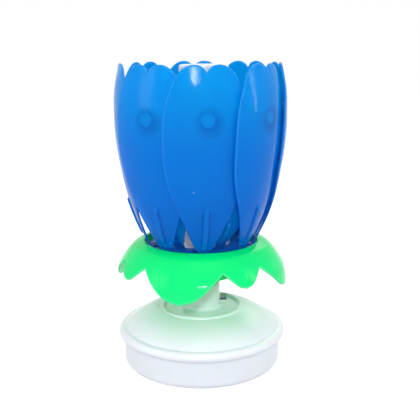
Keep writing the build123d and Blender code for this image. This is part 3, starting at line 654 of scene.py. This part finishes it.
def makeCandles(shape, wax, wick):
    # a stick turned from its profile, laid along -X from its socket's floor, and long enough for the wick to
    # end at a set distance from the flower's axis
    height, radius, socket = petalHeight(shape), hingeRadius(shape), socketHeight(shape)
    start = bulgeAt(shape, radius, height, socket) - radius - shape["wall"] / 2 - candle["play"]
    length = start + radius - candle["wickEnd"] - candle["wickLength"]
    r, root = candle["radius"], candle["wickRoot"]
    profile = roundedLine([(0, 0), (r, 0), (r, length - candle["taper"]), (candle["tipShare"] * r, length),
                           (0, length + candle["tipRise"])], candle["rounding"])
    cord, cordFaces = twistedCord(candle["wickRadius"], candle["wickLength"] + root, candle["wickTurns"])
    points, faces, which = joinParts([lathe(profile, candle["segments"]),
                                      (cord + np.array([0, 0, length - root]), cordFaces)])
    lying = np.stack([start - points[:, 2], points[:, 0], socket + points[:, 1]], axis=-1)
    for number in range(1, shape["count"] + 1):
        node = f"{shape['kind']}_candle_{number}"
        makePiece(f"{shape['kind']}Candle{number}", lying, faces, f"{shape['kind']}_petal_{number}", [node],
                  [wax, wick], faceMaterial=which, place=petalFrame(shape["kind"], number))


waxMaterial = makeWaxMaterial(waxPaint)
wickMaterial = makeCordMaterial("wickThread", tone(240, 236, 224), tone(196, 188, 168))
makeCandles(outerPetal, waxMaterial, wickMaterial)
makeCandles(innerPetal, waxMaterial, wickMaterial)
print("candles made")


# Calyx: a green skirt of four large and four small sepals that droops from the flower's foot

calyx = {"wall": 1.0 * mm, "crestRadius": 24.3 * mm, "tipRadius": 35.6 * mm, "crestHeight": 52.9 * mm,
         "largeTip": 35.3 * mm, "smallTip": 40.6 * mm, "notch": 46.8 * mm, "bore": 23.3 * mm,
         "floor": 48.2 * mm, "stemHole": 8.17 * mm, "drumRadius": 14.5 * mm, "drumWall": 1.2 * mm,
         "drumBottom": 38.0 * mm, "largeAngle": -14.4, "smallAngle": 30.5, "pairs": 4,
         "largeHalf": 15.7 * mm, "smallHalf": 8.5 * mm, "flute": 0.012 * mm, "fluteTurns": (96, 61, 1.3),
         "profileShares": [(0.0, 0.0), (0.28, 0.075), (0.52, 0.22), (0.73, 0.41), (0.89, 0.60), (0.97, 0.82),
                           (1.0, 1.06)],
         "largeShares": [(0.0, 0.0), (0.44, 0.205), (0.73, 0.56), (1.0, 1.0)],
         "smallShares": [(0.0, 0.0), (0.38, 0.18), (0.64, 0.50), (1.0, 1.0)],
         "seatRounding": (0.4, 0.3, 0.3, 0.4, 0.2, 0.2, 0.3, 0.35), "edgeInset": 0.45, "slopeStep": 1e-3,
         "segments": 720, "rows": 40, "rimSteps": 7}
calyxPaint = {"crest": tone(2, 250, 132), "side": tone(12, 252, 138), "tip": tone(26, 253, 144),
              "drops": (0.0, 0.35, 1.0), "cloud": tone(6, 240, 124), "cloudShare": 0.2,
              "rim": tone(140, 255, 200), "rimShare": 0.35, "skin": (110.0, 1200.0, 240.0),
              "leastRough": 0.04, "roughSpread": 0.12, "bump": 0.1 * mm,
              "flowNoise": (420.0, 3.0, 0.7), "flowStretch": (1.0, 1.0, 0.14), "flowDepth": 1.6,
              "shine": {"IOR": 1.2, "Transmission Weight": 0.1, "Specular IOR Level": 0.5,
                        "Subsurface Weight": 0.55, "Subsurface Radius": (0.15, 1.0, 0.4),
                        "Subsurface Scale": 2.5 * mm}}


def skirtCurve(shape):
    # radius and height of the skirt's outer face as functions of the share along it
    widths, heights = np.array(shape["profileShares"]).T
    r = shape["crestRadius"] + widths * (shape["tipRadius"] - shape["crestRadius"])
    z = shape["crestHeight"] - heights * (shape["crestHeight"] - shape["largeTip"])
    run = np.concatenate([[0], np.cumsum(np.hypot(np.diff(r), np.diff(z)))])
    return run / run[-1], r, z


def sepalEdge(shape, angle):
    # how far along the skirt its edge lies at each compass angle: each sepal's outline gives a height for the
    # distance to the side of its middle. That distance depends on the radius there, so it takes a few turns.
    shares, r, z = skirtCurve(shape)
    height = np.full_like(angle, shape["notch"])
    sepals = [(k * 360.0 / shape["pairs"], size) for k in range(shape["pairs"])
              for size in ("large", "small")]
    for turn, size in sepals:
        tip, half = shape[size + "Tip"], shape[size + "Half"]
        across, rise = np.array(shape[size + "Shares"]).T
        off = np.radians((angle - shape[size + "Angle"] - turn + 180) % 360 - 180)
        found = np.full_like(angle, shape["notch"])
        for _ in range(12):
            radius = np.interp(-found, -z, r)
            side = np.abs(radius * np.sin(off))
            new = tip + (shape["notch"] - tip) * smoothCurve(across, rise, side / half)
            found = 0.5 * (found + np.where((side < half) & (np.cos(off) > 0), new, shape["notch"]))
        height = np.minimum(height, found)
    return np.interp(-height, -z, shares)


def skirtFaces(shape, angle):
    # the skirt's outer and inner faces as (r, z) on a grid of angle and share down to the edge, with faint
    # flutes on the outside, and the half-round rim between them
    along = np.linspace(0, 1, shape["rows"])
    shares, r, z = skirtCurve(shape)
    run = np.hypot(np.diff(r), np.diff(z)).sum()
    edge = sepalEdge(shape, angle) - shape["edgeInset"] * shape["wall"] / run
    s, step = edge[:, None] * along[None, :], shape["slopeStep"]
    radius, height = smoothCurve(shares, r, s), smoothCurve(shares, z, s)
    tr = smoothCurve(shares, r, s + step) - smoothCurve(shares, r, s - step)
    tz = smoothCurve(shares, z, s + step) - smoothCurve(shares, z, s - step)
    size = np.hypot(tr, tz)
    nr, nz = -tz / size, tr / size
    turn = np.radians(angle)[:, None]
    many, few, shift = shape["fluteTurns"]
    flute = shape["flute"] * (np.sin(turn * many) + np.sin(turn * few + shift))
    flute = flute * np.sin(np.pi * along)[None, :] ** 2
    outer = np.stack([radius + nr * flute, height + nz * flute], axis=-1)
    inner = np.stack([radius - nr * shape["wall"], height - nz * shape["wall"]], axis=-1)
    mid = (outer[:, -1] + inner[:, -1]) / 2
    half = (outer[:, -1] - inner[:, -1]) / 2
    forward = np.stack([half[:, 1], -half[:, 0]], axis=-1)
    rim = np.stack([mid + half * np.cos(t) + forward * np.sin(t)
                    for t in np.linspace(0, np.pi, shape["rimSteps"])[1:-1]], axis=1)
    return outer, inner, rim


def makeCalyx(shape, material):
    # one closed section for each angle, carried round: down the outer face, round the rim, up the inner face
    # and along the seat, which has the drum below and the well for the flower's foot above
    angle = np.linspace(-180, 180, shape["segments"], endpoint=False)
    outer, inner, rim = skirtFaces(shape, angle)
    low = shape["floor"] - shape["wall"]
    inner[:, :, 1] = np.where(inner[:, :, 0] > shape["bore"], inner[:, :, 1], low)
    drum, drumInside = shape["drumRadius"], shape["drumRadius"] - shape["drumWall"]
    seat = roundedLine([(shape["crestRadius"] - 0.1 * mm, low), (drum, low), (drum, shape["drumBottom"]),
                        (drumInside, shape["drumBottom"]), (drumInside, low), (shape["stemHole"], low),
                        (shape["stemHole"], shape["floor"]), (shape["bore"], shape["floor"]),
                        (shape["bore"], shape["crestHeight"]), (shape["crestRadius"], shape["crestHeight"])],
                       [v * mm for v in shape["seatRounding"]], 4)
    seat = np.broadcast_to(seat, (len(angle), *seat.shape))
    loop = np.concatenate([outer, rim, inner[:, ::-1], seat], axis=1)
    turn = np.radians(angle)[:, None]
    points = np.stack([loop[..., 0] * np.sin(turn), -loop[..., 0] * np.cos(turn), loop[..., 1]], axis=-1)
    faces = gridFaces(len(angle), loop.shape[1], True, True)
    edge = np.zeros(loop.shape[:2])
    edge[:, outer.shape[1] - 1:outer.shape[1] + rim.shape[1] + 1] = 1
    makePiece("calyxSkirt", points, faces, "flower_head", ["calyx"], [material],
              edge=edge.ravel())


def makeCalyxMaterial(paint, shape):
    material, tree, shader, place = startMaterial("calyxPlastic", paint["shine"])
    skin = addSkin(tree, place, *paint["skin"])
    split = addNode(tree, "ShaderNodeSeparateXYZ")
    tree.links.new(place.outputs["Object"], split.inputs[0])
    drop = calc(tree, "DIVIDE", calc(tree, "SUBTRACT", shape["crestHeight"], split.outputs[2]),
                shape["crestHeight"] - shape["largeTip"], clamp=True)
    greens = (paint["crest"], paint["side"], paint["tip"])
    base = ramp(tree, drop, list(zip(paint["drops"], greens)))
    cloudy = layOver(tree, base, paint["cloud"], skin.outputs["Cloud"], paint["cloudShare"])
    # the rim's lighter green is a painted highlight along the sepals' edges
    edge = addNode(tree, "ShaderNodeAttribute", attribute_name="edge")
    rimHighlighted = layOver(tree, cloudy, paint["rim"], edge.outputs["Fac"], paint["rimShare"])
    tree.links.new(rimHighlighted, shader.inputs["Base Color"])
    addRoughness(tree, shader, skin.outputs["Cloud"], paint["leastRough"], paint["roughSpread"])
    # flow lines run down the sepals from the crest
    flow = noise(tree, stretched(tree, place, paint["flowStretch"]), *paint["flowNoise"])
    lined = calc(tree, "MULTIPLY", flow, paint["flowDepth"])
    addBump(tree, shader, calc(tree, "ADD", skin.outputs["Height"], lined), paint["bump"])
    return material


makeCalyx(calyx, makeCalyxMaterial(calyxPaint, calyx))
print("calyx made")


# Fountain: a rolled paper tube with its fuse, under a clear cap

fountain = {"tubeSegments": 72, "capSegments": 96, "capWall": 0.6 * mm, "capRounding": (1.0, 0.25, 0.25, 0.5),
            # the tube's crimp and mouth in mm: how far in from its side, and how far down from its top
            "mouth": [(0.0, 3.0), (0.35, 2.4), (0.0, 1.8), (0.0, 0.0), (0.8, 0.0), (0.9, 1.2)],
            "mouthRounding": (0.3, 0.5, 0.4, 0.5, 0.3, 0.2, 0.2, 0.4),
            "plugRadius": 0.9 * mm, "plugDepth": 1.2 * mm, "plugMiddle": 0.5 * mm,
            "fuseRoot": 1.0 * mm, "fuseTurns": 3.0}
paperPaint = {"light": tone(236, 234, 228), "shade": tone(206, 204, 198), "seam": tone(150, 146, 138),
              "seamShare": 0.5, "seamSlant": 0.9, "seamScale": 26.0,
              "seamRamp": [(0.0, white), (0.06, black)], "fibreNoise": (1400.0, 4.0, 0.7),
              "bump": 0.05 * mm, "shine": {"Roughness": 0.6}}
clearPaint = {"skin": (90.0, 800.0), "bump": 0.02 * mm,
              "shine": {"Base Color": tone(248, 251, 254), "Roughness": 0.3, "IOR": 1.22,
                        "Transmission Weight": 0.6}}


def makePaperMaterial(paint):
    # pressed fibres, with the slanting seams of a strip wound round the tube
    material, tree, shader, place = startMaterial("rolledPaper", paint["shine"])
    slanted = addNode(tree, "ShaderNodeMapping")
    slanted.inputs["Rotation"].default_value = (paint["seamSlant"], 0.0, 0.0)
    tree.links.new(place.outputs["Object"], slanted.inputs["Vector"])
    wave = addNode(tree, "ShaderNodeTexWave", wave_type="BANDS", bands_direction="Z")
    wave.inputs["Scale"].default_value = paint["seamScale"]
    tree.links.new(slanted.outputs[0], wave.inputs["Vector"])
    fibre = noise(tree, place.outputs["Object"], *paint["fibreNoise"])
    base = mixColours(tree, fibre, paint["shade"], paint["light"])
    seam = ramp(tree, wave.outputs["Fac"], paint["seamRamp"])
    tree.links.new(layOver(tree, base, paint["seam"], seam, paint["seamShare"]), shader.inputs["Base Color"])
    addBump(tree, shader, calc(tree, "SUBTRACT", fibre, seam), paint["bump"])
    return material


def makeClearMaterial(paint):
    material, tree, shader, place = startMaterial("clearCapPlastic", paint["shine"])
    skin = addSkin(tree, place, *paint["skin"])
    addBump(tree, shader, skin.outputs["Height"], paint["bump"])
    return material


def uprightSize(node):
    # an upright round node's axis as a place at height 0, its lowest and highest z, and its radius
    low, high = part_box(node)
    middle = (low + high) / 2
    return Matrix.Translation((middle.x, middle.y, 0)), low.z, high.z, (high.x - low.x) / 2


def makeFountain(shape):
    # the tube and the cap are turned from profiles, and the fuse is a thicker wick
    place, bottom, top, radius = uprightSize("fountain_tube")
    mouth = [(radius - inward * mm, top - down * mm) for inward, down in shape["mouth"]]
    plug = [(shape["plugRadius"], top - shape["plugDepth"]), (0, top - shape["plugMiddle"])]
    profile = roundedLine([(0, bottom), (radius, bottom), *mouth, *plug],
                          [v * mm for v in shape["mouthRounding"]])
    points, faces = lathe(profile, shape["tubeSegments"])
    makePiece("fountainTube", points, faces, "flower_head", ["fountain_tube"],
              [makePaperMaterial(paperPaint)], place=place)
    place, bottom, top, radius = uprightSize("fountain_fuse")
    points, faces = twistedCord(radius, top - bottom + shape["fuseRoot"], shape["fuseTurns"], 40, 24)
    makePiece("fountainFuse", points, faces, "flower_head", ["fountain_fuse"],
              [makeCordMaterial("fuseThread", tone(96, 150, 92), tone(52, 98, 58))],
              place=place @ Matrix.Translation((0, 0, bottom - shape["fuseRoot"])))
    place, bottom, top, radius = uprightSize("fountain_cap")
    inside, under = radius - shape["capWall"], top - shape["capWall"]
    profile = roundedLine([(0, top), (radius, top), (radius, bottom), (inside, bottom), (inside, under),
                           (0, under)], [v * mm for v in shape["capRounding"]])
    points, faces = lathe(profile, shape["capSegments"])
    makePiece("fountainCap", points, faces, "fountain_cap", ["fountain_cap"],
              [makeClearMaterial(clearPaint)], place=place)


makeFountain(fountain)
print("fountain made")


# Finishes of the pieces that keep their CAD shape

metalDetail = {"stretch": (1.0, 1.0, 14.0), "noise": (700.0, 3.0, 0.6), "shade": 0.82, "spread": 0.2,
               "lessRough": 0.1, "bump": 0.01 * mm}
boardPaint = {"light": tone(160, 118, 64), "shade": tone(120, 84, 40), "noise": (1800.0, 4.0, 0.7),
              "bump": 0.02 * mm, "shine": {"Roughness": 0.5}}
whiteColour = tone(234, 238, 246)
whiteShine = {"Subsurface Weight": 0.25, "Subsurface Scale": 2.0 * mm, "Coat Weight": 0.2,
              "Coat Roughness": 0.2}
coverPaint = {"white": whiteColour, "mint": tone(226, 242, 241), "neck": tone(222, 244, 224),
              "cloud": tone(222, 226, 234), "cloudShare": 0.04, "start": 0.42, "well": 0.66, "top": 36.0 * mm,
              "skin": (45.0, 1100.0), "leastRough": 0.34, "bump": 0.04 * mm}


def brushedMetal(name, colour, roughness=0.3):
    # fine lines round the piece, where the metal is a little darker and smoother
    material, tree, shader, place = startMaterial(name, {"Metallic": 1.0, "Roughness": roughness})
    lines = noise(tree, stretched(tree, place, metalDetail["stretch"]), *metalDetail["noise"])
    base = mixColours(tree, lines, shaded(colour, metalDetail["shade"]), colour)
    tree.links.new(base, shader.inputs["Base Color"])
    addRoughness(tree, shader, lines, roughness - metalDetail["lessRough"], metalDetail["spread"])
    addBump(tree, shader, lines, metalDetail["bump"])
    return material


def makeBoardMaterial(paint):
    material, tree, shader, place = startMaterial("boardLaminate", paint["shine"])
    fibres = noise(tree, place.outputs["Object"], *paint["noise"])
    tree.links.new(mixColours(tree, fibres, paint["shade"], paint["light"]), shader.inputs["Base Color"])
    addBump(tree, shader, fibres, paint["bump"])
    return material


def makeCoverMaterial(paint, shine):
    # the cover's white turns mint towards the neck, where the green calyx shines on it
    material, tree, shader, place = startMaterial("coverPlastic", shine)
    skin = addSkin(tree, place, *paint["skin"])
    split = addNode(tree, "ShaderNodeSeparateXYZ")
    tree.links.new(place.outputs["Object"], split.inputs[0])
    high = calc(tree, "DIVIDE", split.outputs[2], paint["top"], clamp=True)
    base = ramp(tree, high, [(paint["start"], paint["white"]), (paint["well"], paint["mint"]),
                             (1.0, paint["neck"])])
    clouded = layOver(tree, base, paint["cloud"], skin.outputs["Cloud"], paint["cloudShare"])
    tree.links.new(clouded, shader.inputs["Base Color"])
    addRoughness(tree, shader, skin.outputs["Cloud"], paint["leastRough"], plasticSpread)
    addBump(tree, shader, skin.outputs["Height"], paint["bump"])
    return material


whitePlastic = mouldedPlastic("whitePlastic", whiteColour, {"Roughness": 0.34, **whiteShine}, 45.0, 1100.0,
                              0.04, 0.03)
ringPlastic = mouldedPlastic("ringPlastic", tone(6, 100, 190), {"Roughness": 0.4, "Specular IOR Level": 0.2})
gearPlastic = mouldedPlastic("gearPlastic", tone(226, 226, 220), {"Roughness": 0.5})
bushPlastic = mouldedPlastic("bushPlastic", tone(206, 208, 204), {"Roughness": 0.45})
chipResin = mouldedPlastic("chipResin", tone(26, 26, 28), {"Roughness": 0.25}, 300.0, 1500.0, 0.08)
switchPlastic = mouldedPlastic("switchPlastic", tone(34, 34, 36), {"Roughness": 0.4})
leadCover = mouldedPlastic("leadCover", tone(176, 36, 30), {"Roughness": 0.4})
finishes = [
    (whitePlastic, ["base_cup", "battery_door", "hub", "hub_collar"]),
    (makeCoverMaterial(coverPaint, whiteShine), ["base_cover"]),
    (ringPlastic, ["outer_petal_ring", "inner_petal_ring"]),
    (brushedMetal("plainSteel", tone(196, 196, 198)),
     ["spindle", "retaining_clip", "gear_axle", "door_screw", "case_screws", "cell_contacts", "motor",
      "motor_shaft"]),
    (brushedMetal("cellNickel", tone(214, 214, 216), 0.22), ["button_cells"]),
    (brushedMetal("plainBrass", tone(214, 178, 104)), ["buzzer_disc", "motor_pinion"]),
    (gearPlastic, ["compound_gear", "output_gear"]),
    (bushPlastic, ["spindle_bushes", "thrust_washer"]),
    (makeBoardMaterial(boardPaint), ["circuit_board"]),
    (chipResin, ["melody_chip"]),
    (switchPlastic, ["switch_body", "switch_slider"]),
    (leadCover, ["lead_wires"])]


def dressNodes(table):
    for material, names in table:
        for name in names:
            mesh = nodes[name].data
            mesh.materials.clear()
            mesh.materials.append(material)


dressNodes(finishes)
print("CAD nodes dressed")


# Floor, background and lamps

studio = {"floorSize": 3.0, "floorColour": (0.6, 0.6, 0.61, 1.0), "floorShade": (0.3, 0.3, 0.3, 1.0),
          "floorGlow": 0.92, "worldFill": 0.455, "aim": (0.0, 0.0, 0.07)}
# each lamp's power, its width and height, and where it stands
lamps = {"key": (1.9, (0.03, 0.06), (0.02, -0.60, 0.35)),
         "top": (0.8, (0.5, 0.5), (0.03, -0.20, 0.70)),
         "right": (0.9, (0.05, 0.4), (0.68, -0.12, 0.26)),
         "left": (1.1, (0.25, 0.4), (-0.60, -0.27, 0.28)),
         "back": (1.5, (0.5, 0.5), (0.15, 0.55, 0.50))}


def seenDirectly(tree):
    # 1 for the camera's own rays and for those that gloss or clear plastic passes on
    path = addNode(tree, "ShaderNodeLightPath")
    total = calc(tree, "ADD", path.outputs["Is Camera Ray"], path.outputs["Is Glossy Ray"])
    return calc(tree, "ADD", total, path.outputs["Is Transmission Ray"], clamp=True)


def makeWorld(settings):
    # plain white where it is seen, and a fainter white where it lights the object
    world = bpy.data.worlds.new("studio")
    bpy.context.scene.world = world
    world.use_nodes = True
    tree = world.node_tree
    background = tree.nodes["Background"]
    background.inputs["Color"].default_value = white
    fill = settings["worldFill"]
    strength = calc(tree, "ADD", calc(tree, "MULTIPLY", seenDirectly(tree), 1.0 - fill), fill)
    tree.links.new(strength, background.inputs["Strength"])


def makeFloor(settings):
    # one square that glows where it is seen, so that only the object's shadow tells it from the background
    half = settings["floorSize"] / 2
    mesh = bpy.data.meshes.new("floor")
    corners = [(-half, -half, 0), (half, -half, 0), (half, half, 0), (-half, half, 0)]
    mesh.from_pydata(corners, [], [(0, 1, 2, 3)])
    floor = bpy.data.objects.new("floor", mesh)
    bpy.context.scene.collection.objects.link(floor)
    material, tree, shader, _ = startMaterial("floorWhite", {"Roughness": 1.0, "Specular IOR Level": 0.0,
                                                             "Emission Color": white})
    seen = seenDirectly(tree)
    tree.links.new(mixColours(tree, seen, settings["floorColour"], settings["floorShade"]),
                   shader.inputs["Base Color"])
    tree.links.new(calc(tree, "MULTIPLY", seen, settings["floorGlow"]), shader.inputs["Emission Strength"])
    mesh.materials.append(material)


def makeLamp(name, power, size, place, aim):
    # a rectangle of light turned towards the middle of the object
    data = bpy.data.lights.new(name, "AREA")
    data.shape = "RECTANGLE"
    data.size, data.size_y = size
    data.energy = power
    lamp = bpy.data.objects.new(name, data)
    bpy.context.scene.collection.objects.link(lamp)
    lamp.location = place
    lamp.rotation_euler = (Vector(aim) - Vector(place)).to_track_quat("-Z", "Y").to_euler()


makeWorld(studio)
makeFloor(studio)
for lampName, (power, size, place) in lamps.items():
    makeLamp(lampName, power, size, place, studio["aim"])
bpy.context.scene.view_settings.view_transform = "Standard"
print("studio made")
